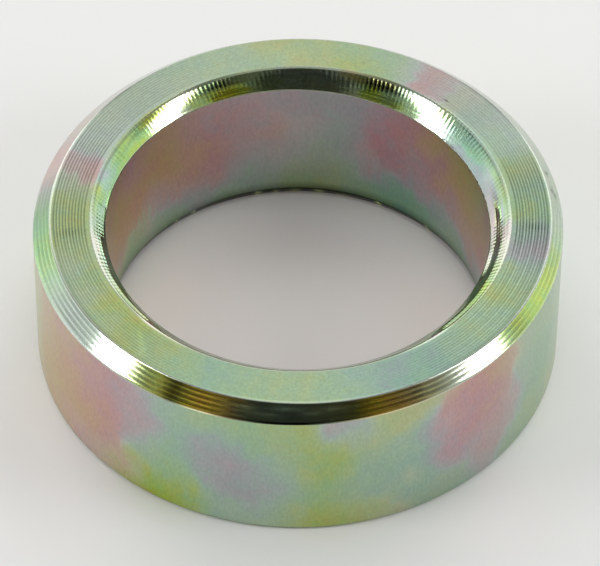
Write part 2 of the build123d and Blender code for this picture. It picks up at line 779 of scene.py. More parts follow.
    def raise_burr(self, lip: np.ndarray) -> np.ndarray:
        """Raises a ragged burr into the bore along the chamfer's lower edge.

        The burr's height is a rough random value round the sleeve, largest about
        burr_angle, and it pushes the edge straight inwards.

        Args:
            lip: The three rings of the edge.

        Returns:
            The moved rings.
        """
        marks, angle = self.marks, self.fine
        near = bell(angle_between(angle, marks.burr_angle), marks.burr_reach)
        rough = marks.burr_usual + marks.burr_uneven * marks.burr_noise.at(angle)
        push = marks.burr_height * (marks.burr_least + near) * np.clip(rough, 0, marks.burr_most)
        push = np.array(marks.burr_profile)[:, None] * push
        x, y = around(angle)
        return lip - np.stack([push * x, push * y, np.zeros(push.shape)], -1)

    def build(self, film: "ChromateFilm") -> bpy.types.Object:
        """Joins the bands into one closed mesh and writes the film's attributes on it.

        Neighbouring rings with the same number of points are joined by quads. Where a plain
        ring meets a fine one, each of its steps is one face with all the fine points on it.

        Args:
            film: Gives the film, the painted light and shade with a few specks, and the roughness
                on each band.

        Returns:
            The finished piece, placed by its mesh.
        """
        bands = self.bands()
        counts = [band.points.shape[1] for band in bands for _ in band.points]
        rings = list(zip(np.cumsum([0, *counts]), counts))
        faces = [self.join(ring, after) for ring, after in zip(rings, rings[1:] + rings[:1])]
        sizes = np.concatenate([np.full(len(f), f.shape[1]) for f in faces])
        loops = np.concatenate([f.reshape(-1) for f in faces])
        points = np.concatenate([band.points.reshape(-1, 3) for band in bands])

        mesh = bpy.data.meshes.new("turned_sleeve")
        mesh.vertices.add(len(points))
        mesh.vertices.foreach_set("co", (points * MM).ravel())
        mesh.loops.add(len(loops))
        mesh.loops.foreach_set("vertex_index", loops)
        mesh.polygons.add(len(sizes))
        mesh.polygons.foreach_set("loop_start", np.cumsum([0, *sizes[:-1]]))
        mesh.polygons.foreach_set("loop_total", sizes)
        mesh.update(calc_edges=True)
        mesh.shade_smooth()
        for name, values in film.attributes(bands).items():
            kind, field = ("FLOAT_VECTOR", "vector") if values.ndim == 2 else ("FLOAT", "value")
            layer = mesh.attributes.new(name, kind, "POINT")
            layer.data.foreach_set(field, values.astype(np.float32).ravel())
        piece = bpy.data.objects.new("turned_sleeve", mesh)
        bpy.context.scene.collection.objects.link(piece)
        log.info("turned_sleeve: %d points, %d faces", len(points), len(sizes))
        return piece

    @staticmethod
    def join(ring: tuple[int, int], other: tuple[int, int]) -> np.ndarray:
        """Gives the faces between two neighbouring rings, as rows of point numbers.

        Args:
            ring: The first point and the number of points of the ring nearer the start.
            other: The same for the next ring round the section.

        Returns:
            One row for each face, wound so that it faces outwards.
        """
        (start, count), (next_start, next_count) = ring, other
        step = np.arange(min(count, next_count))
        after = (step + 1) % len(step)
        if count <= next_count:
            ratio = next_count // count
            many = [next_start + (step * ratio + k) % next_count for k in range(ratio + 1)]
            columns = [start + step, *many, start + after]
        else:
            ratio = count // next_count
            many = [start + (step * ratio + k) % count for k in range(ratio, -1, -1)]
            columns = [next_start + step, next_start + after, *many]
        return np.stack(columns, 1)


# ---------------------------------------------------------------------------------- the film

# The film's pattern drifts at random: pairs of waves round the sleeve and a size, which is a
# share of the zone's wander for the drift round the sleeve, and of its width across it
DRIFT_ROUND = ((30, 1.0), (110, 0.3))
DRIFT_ACROSS = ((24, 0.065), (130, 0.02))
FAR_WEIGHT = 1e-9  # Gives the points far from every station the film of the nearest ones
LEAST_WEIGHT = 1e-12  # Keeps the weights above 0
LEAST_PURITY = 0.05  # Below it, the film where opposite orders meet isn't strengthened further
PURITY_POWER = -0.7
# The least and the most of the shade attribute: at -1.5 painted light makes the colour 2.5 times
# paler, and at 0.98 painted shade makes it nearly black.
SHADE_RANGE = (-1.5, 0.98)
SECTION_GAP = 0.05  # Between the bands, in millimetres along the section


@dataclass(frozen=True)
class Station:
    """A place on a zone where the film's order was set.

    Attributes:
        angle: Degrees round the sleeve.
        across: The place across the zone, from 0 to 1.
        order: The film's order of interference. A whole step runs once through the colours.
        haze: How much pale zinc shows through the film's colour.
    """

    angle: float
    across: float
    order: float
    haze: float


@dataclass(frozen=True)
class SpeckAndPaintedLight:
    """A darker or paler place on a zone. Most are painted shade and painted light, which stand in
    for the metal's reflections and for shadow; a few are marks on the metal, such as specks and a
    scratch.

    Attributes:
        angle: Degrees round the sleeve.
        across: The place across the zone, from 0 to 1.
        reach_angle: How far it reaches round the sleeve, in degrees.
        reach_across: How far it reaches across the zone.
        depth: How much darker it is, from 0 to 1, or paler where it is below 0.
        grooved: Whether it only fills the hollows of the turning marks.
    """

    angle: float
    across: float
    reach_angle: float
    reach_across: float
    depth: float
    grooved: bool = False


@dataclass(frozen=True)
class ZoneFinish:
    """How one turned zone looks under its film.

    Attributes:
        stations: Where the film's order is set; between them it changes smoothly.
        reach_angle: How far a station reaches round the sleeve, in degrees.
        reach_across: How far it reaches across the zone.
        roughness: The metal's roughness.
        wander: How far the film's pattern wanders round the sleeve, in degrees.
        seed: Fixes the pattern's wandering.
        specks_and_painted_light: Darker and paler places, mostly painted shade and painted light,
            with a few real specks and a scratch.
    """

    stations: tuple[Station, ...]
    reach_angle: float
    reach_across: float
    roughness: float
    wander: float
    seed: int
    specks_and_painted_light: tuple[SpeckAndPaintedLight, ...] = ()

    def film(self, angle: np.ndarray, across: np.ndarray) -> np.ndarray:
        """Gives the film at each point, as a mean of the stations weighted by nearness.

        The film is a flat vector. Its direction is the order, once round for a whole step,
        and its length is the share of the film's colour that shows: 1 - haze, and less
        only where two opposite orders meet. A station's weight is
        exp(-(turn / reach_angle)^2 - (gap / reach_across)^2), at a place that first drifts
        a little at random.

        Args:
            angle: Degrees round the sleeve.
            across: The place across the zone.

        Returns:
            The vector's X, Y and an idle Z for each point.
        """
        turned, moved = angle, across
        for step, (waves, size) in enumerate(DRIFT_ROUND):
            drift = Noise(waves, self.seed + 2 * step).over(angle, across)
            turned = turned + size * self.wander * drift
        for step, (waves, size) in enumerate(DRIFT_ACROSS):
            moved = moved + size * Noise(waves, self.seed + 1 + 2 * step).over(angle, across)
        total = np.zeros(turned.shape + (3,))
        share, weights = np.zeros(turned.shape), np.full(turned.shape, LEAST_WEIGHT)
        for station in self.stations:
            turn = angle_between(turned, station.angle) / self.reach_angle
            gap = (moved - station.across) / self.reach_across
            weight = np.exp(-turn ** 2 - gap ** 2) + FAR_WEIGHT / (1 + turn ** 2)
            phase = 2 * math.pi * station.order
            arrow = np.array([math.cos(phase), math.sin(phase), 0.0]) * (1 - station.haze)
            total = total + weight[..., None] * arrow
            share = share + weight * (1 - station.haze)
            weights = weights + weight
        total, share = total / weights[..., None], share / weights
        purity = np.linalg.norm(total, axis=-1) / share
        return total * (np.maximum(purity, LEAST_PURITY) ** PURITY_POWER)[..., None]

    def shade(self, angle: np.ndarray, across: np.ndarray,
              hollow: np.ndarray | float) -> np.ndarray:
        """Gives how much darker each point is than its film's colour: mostly painted shade, and
        painted light where it is below 0, besides a few real specks.

        Every spot adds its depth times exp(-(turn / reach_angle)^2 - (gap / reach_across)^2).

        Args:
            angle: Degrees round the sleeve.
            across: The place across the zone.
            hollow: How deep each point lies in its tool mark, from 0 to 1.

        Returns:
            The share of the colour that is lost at each point.
        """
        total = np.zeros(angle.shape)
        for shade_spot in self.specks_and_painted_light:
            turn = angle_between(angle, shade_spot.angle) / shade_spot.reach_angle
            gap = (across - shade_spot.across) / shade_spot.reach_across
            spot = shade_spot.depth * np.exp(-turn ** 2 - gap ** 2)
            total = total + (spot * hollow if shade_spot.grooved else spot)
        return np.clip(total, *SHADE_RANGE)


@dataclass(frozen=True)
class ChromateFilm:
    """The chromate film over the whole sleeve, by zone."""

    finishes: dict[Zone, ZoneFinish]

    def attributes(self, bands: list[Band]) -> dict[str, np.ndarray]:
        """Works out the point attributes that the zinc material reads.

        Args:
            bands: The sleeve's bands, in the order of the mesh's points.

        Returns:
            film (a vector), shade (mostly painted shade and painted light, with a few specks),
            rough and section (millimetres along the section).
        """
        parts: dict[str, list[np.ndarray]] = {"film": [], "shade": [], "rough": [], "section": []}
        travelled = 0.0
        for band in bands:
            finish = self.finishes[band.zone]
            angle = np.degrees(np.arctan2(band.points[..., 0], -band.points[..., 1])) % 360.0
            across = np.broadcast_to(np.reshape(band.across, (-1, 1)), angle.shape)
            step = np.linalg.norm(np.diff(band.points[:, 0], axis=0), axis=-1)
            along = travelled + np.cumsum([0.0, *step])
            travelled = along[-1] + SECTION_GAP
            parts["film"].append((finish.film(angle, across) * (1 - band.worn)).reshape(-1, 3))
            parts["shade"].append(finish.shade(angle, across, band.hollow).ravel())
            parts["rough"].append(np.full(angle.size, finish.roughness))
            parts["section"].append(np.repeat(along, angle.shape[1]))
        return {name: np.concatenate(part) for name, part in parts.items()}


def stations(across: float, haze: float, *places: tuple[float, ...]) -> tuple[Station, ...]:
    """Makes a row of stations at one place across a zone.

    Args:
        across: The row's place across the zone.
        haze: The haze of every station that doesn't give its own.
        places: The angle, the order and, if it differs, the haze of each station.

    Returns:
        The stations of the row.
    """
    return tuple(Station(place[0], across, place[1], place[2] if len(place) > 2 else haze)
                 for place in places)


def specks_and_painted_light(*rows: tuple[float, ...]) -> tuple[SpeckAndPaintedLight, ...]:
    """Makes the darker and paler spots of a zone, each from a row of its attributes in order:
    mostly painted shade and painted light, with a few real specks.
    """
    return tuple(SpeckAndPaintedLight(*row) for row in rows)


# The orders run 0 teal, 0.12 green, 0.25 yellow-green, 0.37 olive yellow, 0.48 amber,
# 0.58 orange pink, 0.66 rose, 0.76 mauve, 0.86 lavender, 0.94 blue, and on to teal again.

FACE_FINISH = ZoneFinish(
    stations=stations(.22, .5, (0, .15), (8, .12), (16, .02), (24, -.04, .45), (32, -.02, .45),
        (42, .06), (52, .14), (62, .2, .4), (70, .15), (77, -.15, .7), (84, .05, .6),
        (92, .18, .4), (100, .1), (106, .18, .45), (116, .06, .55), (126, .02, .65), (135, .2, .8),
        (141, -.3, .75), (146, -.36, .55), (151, .1, .7), (157, .17, .45), (166, .22, .4),
        (176, .24), (188, .18, .55), (200, .14, .6), (213, .12, .7), (226, .08, .7), (238, 0, .75),
        (246, .05, .75), (252, -.34, .58), (257, -.38, .6), (262, .2, .6), (266, .23, .4),
        (272, .22, .4), (284, .18, .45), (294, .22, .4), (304, .25, .3), (314, .26, .3),
        (323, .2, .4), (332, .12, .45), (340, .04, .45), (347, .1), (353, .16))
    + stations(.78, .5, (0, .15), (8, .12), (16, .01), (24, -.03, .4), (32, 0, .4), (42, .04),
        (54, .08), (66, .14), (73, 0, .6), (79, -.2, .65), (84, -.05, .6), (92, .13, .45),
        (98, .05), (105, .15, .55), (116, .04, .7), (126, 0, .75), (135, .2, .9), (141, -.3, .85),
        (146, -.36, .6), (150, .05, .8), (156, .1, .55), (166, .15), (176, .22), (186, .22),
        (197, .14, .6), (210, .1, .6), (224, .08, .7), (236, .1, .75), (246, 0, .8),
        (253, -.38, .75), (259, .15, .7), (267, .2, .45), (276, .2, .45), (288, .14, .6),
        (298, .15, .6), (308, .18), (316, .2, .4), (325, .16, .45), (334, .13, .45),
        (340, .06, .45), (348, .13, .45)),
    reach_angle=3.6, reach_across=.4, roughness=.17, wander=.5, seed=41,
    # Painted shade fills the hollows of the facing marks round most of the face, standing in for
    # the marks' dark reflections, and the other darker and paler places round the face are painted
    # shade and painted light that even out its reflections. On the outer rim (across 1), painted
    # shade dims the rim's highlight at 48, 128, 228 and 303, and the front of the rim is painted
    # paler. The dark dashes at 86.3 and 276.8, the dark specks at 137 and 163 and the pale arc
    # from 315.8 to 321 are marks on the face.
    specks_and_painted_light=specks_and_painted_light((83, .5, 9, ALL, .5, True), (102, .5, 13, ALL, .52, True),
        (86.3, .6, 1.2, .35, .35, True), (250, .5, 13, ALL, .55, True), (116, .5, 9, ALL, -.16),
        (246, .5, 12, ALL, -.18), (275, .5, 15, ALL, .5, True), (222, .5, 20, ALL, .22, True),
        (135, .5, 15, ALL, .16, True), (296, .5, 8, ALL, .2, True), (64, .5, 11, ALL, .22, True),
        (316, .5, 15, ALL, .24, True), (42, .5, 16, ALL, .22, True), (70, .85, 9, .3, .08),
        (210, .5, 18, ALL, -.06), (276.8, .5, 1.2, .35, .3, True), (80, .5, 9, ALL, .1),
        (137, .2, .7, .03, .7), (163, .35, .8, .03, .2), (183, .4, 4.5, .35, -.05),
        (48, 1, 16, .03, .45), (128, 1, 14, .03, .4), (228, 1, 12, .03, .4), (303, 1, 24, .03, .5),
        (0, 1, 20, .03, -.4), (315.8, .32, .9, .05, -.16), (317.4, .42, .9, .06, -.18),
        (318.9, .54, .9, .07, -.2), (320.1, .67, .9, .08, -.2), (321, .82, .9, .09, -.16)),
)
OUTER_CHAMFER_FINISH = ZoneFinish(
    stations=stations(.5, .5, (0, .15), (8, .25, .4), (15, .4, 0), (22, .4, .05), (29, .34, .5),
        (36, .2, .8), (48, .2, .6), (55, .22, .2), (63, .2, .15), (71, .2, .2), (79, .18, .3),
        (85, .1, .6), (90, .08, .75), (100, .08, .8), (120, .1, .85), (150, .1, .9),
        (180, .12, .9), (215, .1, .9), (230, -.4, .9), (240, -.38, .8), (250, -.36, .6),
        (257, -.36, .7), (262, .1, .85), (269, .08, .35), (277, .12, .25), (285, .16, .3),
        (290, .1), (294, .05, .75), (304, 0, .75), (314, .05, .8), (322, .2), (328, .27, .1),
        (333, .36, .1), (339, .43, 0), (345, .4, .1), (352, .15)),
    reach_angle=4.5, reach_across=3, roughness=.12, wander=1, seed=43,
    # Painted shade fills the hollows of the ridges at 19, 31, 56, 74, 262, 282, 300, 325 and 339,
    # standing in for their dark reflections, and the crests at 19, 74, 282, 300 and 339 are
    # painted paler as highlights. The front and its rounded lower edge (across 1) are painted
    # darker as the dark reflection there, and the pale flecks from 349 to 8 are painted
    # reflections in it. The dark line at 332.5 is painted shade, and 70, 254 and 284 are painted
    # paler. The small dark spots at 97.4, 98.8 and 104.2 are specks, and there is a small dark
    # spot at 27.
    specks_and_painted_light=specks_and_painted_light((97.4, .6, .7, .15, .6), (98.8, .4, .7, .15, .75), (104.2, .4, .7, .15, .85),
        (27, .3, 1.2, .1, .3), (358, 1, 17, .03, .75), (358, .5, 13, ALL, .3),
        (349, .35, 2.5, .16, -.9), (353, .62, 3, .14, -.8), (358, .25, 4, .14, -1.1),
        (3, .5, 2.5, .12, -.8), (8, .3, 3, .16, -.9), (332.5, .5, 2.2, ALL, .6),
        (339, .5, 4, ALL, -1.3), (339, .5, 4, ALL, 1.2, True), (19, .5, 7, ALL, -.5),
        (19, .5, 8, ALL, .8, True), (31, .5, 5, ALL, .5, True), (300, .5, 9, ALL, .65, True),
        (300, .5, 9, ALL, -.25), (282, .5, 7, ALL, .55, True), (282, .5, 7, ALL, -.25),
        (262, .5, 6, ALL, .35, True), (325, .5, 4, ALL, .5, True), (74, .5, 9, ALL, .5, True),
        (74, .5, 9, ALL, -.2), (56, .5, 5, ALL, .4, True), (70, .5, 14, ALL, -.16),
        (284, .5, 10, ALL, -.16), (254, .5, 9, ALL, -.14)),
)
BORE_CHAMFER_FINISH = ZoneFinish(
    stations=stations(.85, .5, (0, .2, .6), (15, .15, .6), (25, .12), (35, .13), (45, .14, .4),
        (52, .16, .3), (58, .2, .2), (64, .2, .2), (70, .2), (77, .3, .85), (86, -.35, .85),
        (92, .15), (97, .18, .3), (104, .14, .4), (112, .04, .4), (120, 0, .35), (127, .03, .4),
        (134, .2, .4), (141, .1, .8), (148, .15), (156, .28, .3), (163, .35, .3), (172, .15, .6),
        (182, .15, .6), (192, .2, .4), (199, .2, .3), (207, .16, .3), (215, .2, .6),
        (222, .24, .2), (229, .28, .1), (236, .17, .2), (243, .19, .15), (248, .15, .4),
        (252, -.1, .55), (257, -.05), (261, .22, .15), (266, .15, .4), (273, .12, .6),
        (282, .4, .9), (290, .2, .8), (297, .15, .6), (304, .2, .5), (312, .22, .6), (320, .3, .6),
        (332, .2, .6), (345, .18, .6))
    + stations(.5, .5, (0, .2, .7), (18, .12, .5), (30, .15, .5), (40, .15, .5), (50, .18, .3),
        (57, .15, .1), (63, .12, .1), (70, .06, .3), (77, -.15, .5), (84, -.2, .5), (90, -.2, .5),
        (96, -.2, .6), (102, -.15, .6), (108, -.08, .6), (114, -.02, .3), (120, 0, .25),
        (127, .02, .4), (135, .1, .8), (144, .14, .4), (151, .12, .3), (158, .25, 0), (165, .15),
        (180, .15), (192, .18, .3), (200, .27, 0), (206, .24, .1), (212, .18, .3), (220, .15, .7),
        (228, .15), (233, .16, .15), (239, .13, .2), (246, .15, .1), (251, .05, .4),
        (256, .03, .45), (262, .15, .2), (268, .02), (275, .02, .6), (283, .05, .4), (290, 0, .4),
        (295, .08, .3), (300, .26, 0), (306, .22, .3), (314, .26, .2), (321, .22, .5),
        (332, .16, .5), (344, .15, .6))
    + stations(.15, .5, (0, .2, .7), (20, .15), (35, .15, .5), (50, .2), (60, .14, .4),
        (67, .1, .4), (74, .3, .85), (82, -.3, .85), (90, -.3, .8), (98, -.2, .7), (106, -.1),
        (114, -.08, .4), (122, -.1, .4), (129, -.05), (136, .1, .8), (144, .14, .4), (151, .2, .1),
        (158, .26, 0), (166, .2), (180, .2), (191, .22, .3), (199, .28, 0), (205, .28, 0),
        (211, .2, .2), (219, .15, .7), (228, .2, .4), (234, .19, .1), (241, .18, .1),
        (248, .17, .15), (254, .12, .3), (260, .1, .4), (266, .05), (273, 0, .6), (281, .05, .4),
        (288, .1, .4), (296, .14, .3), (303, .22, .3), (312, .2), (322, .2, .6), (335, .16, .6),
        (348, .15, .7)),
    reach_angle=3.2, reach_across=.22, roughness=.12, wander=1, seed=45,
    # Painted shade fills the chatter's hollows all round, and more at 119, 156 and 201, standing
    # in for the marks' dark reflections. At 153 and 207 painted shade dulls the white highlights,
    # and at 37, 40.6, 78, 84, 100, 262, 283, 292, 315.4 and 321 the chamfer is painted paler as
    # highlights. Along the rim (across 1), painted shade dims the rim's highlight at 112 and 252,
    # and the darker places at 27, 47, 97, 231, 309 and 332 are painted shade too.
    specks_and_painted_light=specks_and_painted_light((0, .6, ALL, .5, .3, True), (119, 1, 17, .16, .7, True), (231, .95, 8, .15, .25),
        (292, .3, 16, .5, -.4), (156, .8, 7, .25, .7, True), (201, .8, 9, .25, .65, True),
        (153, .85, 7, .35, .6), (207, .85, 8, .35, .6), (100, .8, 30, .4, -.12),
        (262, .8, 30, .4, -.12), (78, .45, 16, .3, -.3), (37, .92, 7, .2, -.8),
        (40.6, .75, 3, .35, -1.3), (315.4, .8, 3, .3, -1.4), (283, .47, 9, .16, -.8),
        (97, .46, 5, .17, .6), (84, .43, 9, .2, -1.4), (84, .43, 9, .2, 1.3, True),
        (252, 1, 30, .04, .4), (112, 1, 25, .04, .35), (321, .92, 7, .2, -.7),
        (332, .3, 16, .6, .28), (27, .3, 16, .6, .28), (309, .25, 8, .35, .35),
        (47, .25, 6, .35, .25)),
)
OUTSIDE_FINISH = ZoneFinish(
    stations=stations(.12, .5, (270, .3, .8), (280, .34, .75), (290, .5, .62), (300, .57, .55),
        (307, .62), (314, .66, .5), (321, .7, .45), (327, .84, .55), (332, .08), (340, .14),
        (348, .1, .4), (355, .18, .4), (3, .23, .35), (11, -.2, .58), (17, .24), (25, .26),
        (31, .3, .6), (37, .64, .45), (43, .64, .4), (49, .54, .4), (55, .12, .7), (66, .1, .6),
        (76, .1, .65), (90, .12, .8), (99, .1, .65), (108, .14, .55), (118, .24), (128, .27, .4),
        (137, .36), (146, .6), (154, .68, .45), (162, .8), (170, .86, .55), (178, .98, .6),
        (187, .05), (196, .14), (205, .25, .4), (213, .3, .45), (221, .48), (230, .6, .45),
        (239, .66, .55), (249, .4, .7), (260, .3, .75))
    + stations(.38, .5, (270, .3, .8), (280, .32, .7), (290, .46, .55), (300, .53, .45),
        (308, .58), (315, .64, .4), (322, .7, .45), (328, 0, .6), (334, .05, .45), (339, .88, .45),
        (346, .82, .45), (352, .86, .5), (358, .12, .6), (3, .24, .3), (9, .25, .1), (14, .16),
        (20, .05, .55), (28, -.07, .5), (35, .7, .4), (41, .68, .4), (47, .63, .45),
        (53, .66, .55), (58, .08, .65), (66, .05, .5), (76, .08, .65), (90, .12, .8),
        (100, .06, .65), (110, .1, .55), (119, .2), (128, .24, .45), (137, .3, .55), (146, .56),
        (155, .64, .45), (164, .74), (173, .84, .55), (182, 0, .55), (191, .07, .45), (200, .16),
        (208, .28), (216, .6, .65), (225, .64), (234, .62), (243, .5, .6), (255, .34, .7))
    + stations(.62, .5, (270, .32, .8), (280, .34, .65), (290, .44, .45), (300, .49, .4),
        (307, .54, .4), (314, .62, .45), (320, .68, .5), (325, .08, .5), (332, .06, .4),
        (339, .84, .5), (346, .82, .45), (352, .84, .5), (358, .95, .6), (5, .2, .35),
        (12, .95, .55), (20, .98, .45), (28, .98, .4), (36, .74), (42, .7), (48, .68, .5),
        (54, .7, .75), (60, .03, .45), (68, .05, .5), (78, .1, .7), (90, .12, .8), (101, .04, .65),
        (112, .02, .55), (122, .05), (132, .1), (141, .2, .55), (149, .36), (157, .48, .45),
        (166, .6), (175, .68), (184, .72, .6), (193, .12, .7), (201, .1), (209, .84, .6),
        (217, .8), (226, .98, .6), (235, .06), (245, .1, .6), (257, .3, .75))
    + stations(.9, .5, (270, .4, .8), (280, .45, .65), (290, .5, .5), (300, .56, .55),
        (308, .6, .62), (315, .56, .7), (321, .28, .2), (328, .26, 0), (335, .23, .15),
        (343, .06, .6), (351, .02, .65), (358, .2, .45), (6, .26, .2), (13, .25, .35),
        (21, .34, .7), (30, .1, .6), (38, .08, .6), (45, .7, .75), (52, .12, .6), (62, .15, .6),
        (72, .2, .7), (90, .2, .8), (102, .08, .65), (113, 0, .6), (124, .04), (134, .12, .45),
        (143, .24, .4), (152, .32, .4), (161, .42), (170, .56, .55), (179, .64), (188, .7, .6),
        (197, .16, .7), (206, .2), (214, .9, .6), (223, .04, .55), (232, .1), (241, .18),
        (251, .28, .6), (262, .38, .75)),
    reach_angle=5, reach_across=.19, roughness=.34, wander=1.4, seed=47,
    # Slightly darker at the front and near the top at the front right, and slightly paler on the
    # left.
    specks_and_painted_light=specks_and_painted_light((15, .5, 48, ALL, .07), (40, 1, 30, .3, .07), (296, .4, 26, ALL, -.05)),
)
BORE_FINISH = ZoneFinish(
    stations=stations(.88, .5, (90, .52), (98, .62), (106, .4, .4), (115, .36, .25),
        (125, .42, .35), (135, .54, .4), (144, .64, .4), (152, .72, .35), (161, .86, .4),
        (172, .84, .45), (185, .8, .5), (197, .74), (207, .72), (216, .62), (225, .52, .4),
        (235, .54, .4), (243, .66, .4), (250, .56, .3), (260, .5, .3), (270, .5, .35),
        (280, .56, .4), (290, .62, .4), (300, .7, .4), (310, .66, .4), (320, .56, .35),
        (330, .48, .35), (340, .42, .35), (350, .5, .4), (0, .6, .4), (10, .68, .4),
        (20, .74, .45), (30, .66, .4), (40, .58, .4), (50, .5, .35), (60, .44, .3), (70, .46, .3),
        (80, .5, .4))
    + stations(.62, .5, (90, .56), (105, .5, .4), (115, .42, .3), (125, .48, .3), (132, .66, .4),
        (141, .74, .45), (149, .66, .3), (156, .66, .3), (162, .88, .5), (170, .92, .6),
        (180, .74, .75), (190, .66, .6), (200, .68), (209, .64, .4), (217, .54, .4),
        (228, .48, .3), (240, .52, .3), (252, .47, .2), (262, .47, .3), (272, .5, .35),
        (283, .58, .4), (294, .68, .4), (305, .76, .45), (315, .7, .4), (325, .6, .4),
        (335, .5, .35), (345, .52, .35), (355, .62, .4), (5, .7, .45), (15, .78), (26, .7, .45),
        (37, .6, .4), (48, .54, .35), (59, .46, .3), (70, .48, .35), (80, .52, .4))
    + stations(.37, .5, (90, .6), (101, .64, .25), (108, .6, .3), (116, .56), (125, .66),
        (135, .72), (144, .72, .4), (152, .68, .35), (159, .68, .5), (165, .98, .75),
        (173, .1, .8), (182, .9, .85), (190, .7, .7), (200, .72, .6), (208, .6, .4),
        (218, .56, .4), (230, .62), (240, .52, .3), (252, .52, .25), (262, .52, .4),
        (273, .56, .4), (284, .66, .45), (295, .74), (306, .84, .55), (317, .78), (328, .68, .45),
        (339, .6, .4), (350, .64, .4), (1, .72), (12, .82, .55), (23, .9, .6), (34, .8, .55),
        (45, .7, .45), (56, .62, .4), (67, .56, .4), (78, .58, .4))
    + stations(.16, .5, (90, .6, .7), (103, .7, .6), (111, .8, .7), (119, .9, .7), (127, .95, .6),
        (135, .98, .4), (143, .02, .2), (151, .04, .2), (158, .06, .4), (165, .1, .6),
        (173, .16, .6), (181, .18, .6), (189, .95, .7), (197, .9, .7), (206, .75, .6),
        (214, .72, .6), (222, .92, .65), (232, .12, .65), (242, .14, .6), (255, .6, .5),
        (267, .3, .6), (278, .14, .6), (290, .08, .6), (302, .95, .6), (314, .9, .6),
        (326, .02, .6), (338, .12, .6), (350, .18, .6), (2, .1, .6), (14, 0, .6), (26, .92, .6),
        (38, .86, .6), (50, .8, .6), (62, .74, .6), (74, .68, .6))
    + stations(0, .45, (102, .12), (112, .12), (122, .08), (132, .06), (142, .06, .3),
        (152, .08, .3), (162, .14, .35), (172, .22, .3), (182, .2, .3), (192, .14, .4), (202, .12),
        (212, .1), (222, .1), (232, .12), (242, .14), (252, .15), (262, .15), (275, .14),
        (290, .1), (305, .06), (320, .1), (335, .16), (350, .2), (5, .16), (20, .1), (35, .06),
        (50, .1), (65, .14), (80, .14), (92, .12)),
    reach_angle=5.6, reach_across=.15, roughness=.3, wander=1.6, seed=49,
    # Slightly darker all round, more towards the foot and low at the back, with painted shade of
    # the floor contact along the foot about the back.
    specks_and_painted_light=specks_and_painted_light((180, .5, ALL, ALL, .04), (172, .35, 13, .3, .1), (180, 0, ALL, .2, .14),
        (170, 0, 68, .014, .75)),
)
LOWER_FINISH = ZoneFinish(
    stations=stations(.5, .5, (0, .2), (60, .05), (120, .3), (170, -.3), (230, .1), (300, .25)),
    reach_angle=25, reach_across=3, roughness=.25, wander=3, seed=51,
)
LOWER_BREAK_FINISH = ZoneFinish(
    stations=stations(.5, .3, (0, .3), (90, .25), (150, .2), (180, .3), (210, .2), (270, .25)),
    reach_angle=25, reach_across=3, roughness=.3, wander=1, seed=53,
    # The break is painted nearly black as painted shadow where it meets the floor, and the pale
    # spots on it are painted glints of the burr.
    specks_and_painted_light=specks_and_painted_light((180, .6, ALL, ALL, .97), (214.5, .8, .6, .5, -2.4), (192.5, .5, 1, .5, -1.6),
        (187, .4, .7, .4, -1.6), (181, .5, 1.4, .4, -1.2), (173.5, .5, 1.2, .4, -1.6),
        (154.2, .7, .7, .5, -2.4), (136, .8, .6, .5, -2.4), (221, .8, .6, .5, -1.6),
        (166, .3, 2, .3, -.8)),
)
FINISHES = {
    Zone.BORE: BORE_FINISH, Zone.BORE_CHAMFER: BORE_CHAMFER_FINISH,
    Zone.UPPER_FACE: FACE_FINISH, Zone.OUTER_CHAMFER: OUTER_CHAMFER_FINISH,
    Zone.OUTSIDE: OUTSIDE_FINISH, Zone.LOWER_FACE: LOWER_FINISH,
    Zone.LOWER_BREAK: LOWER_BREAK_FINISH,
}


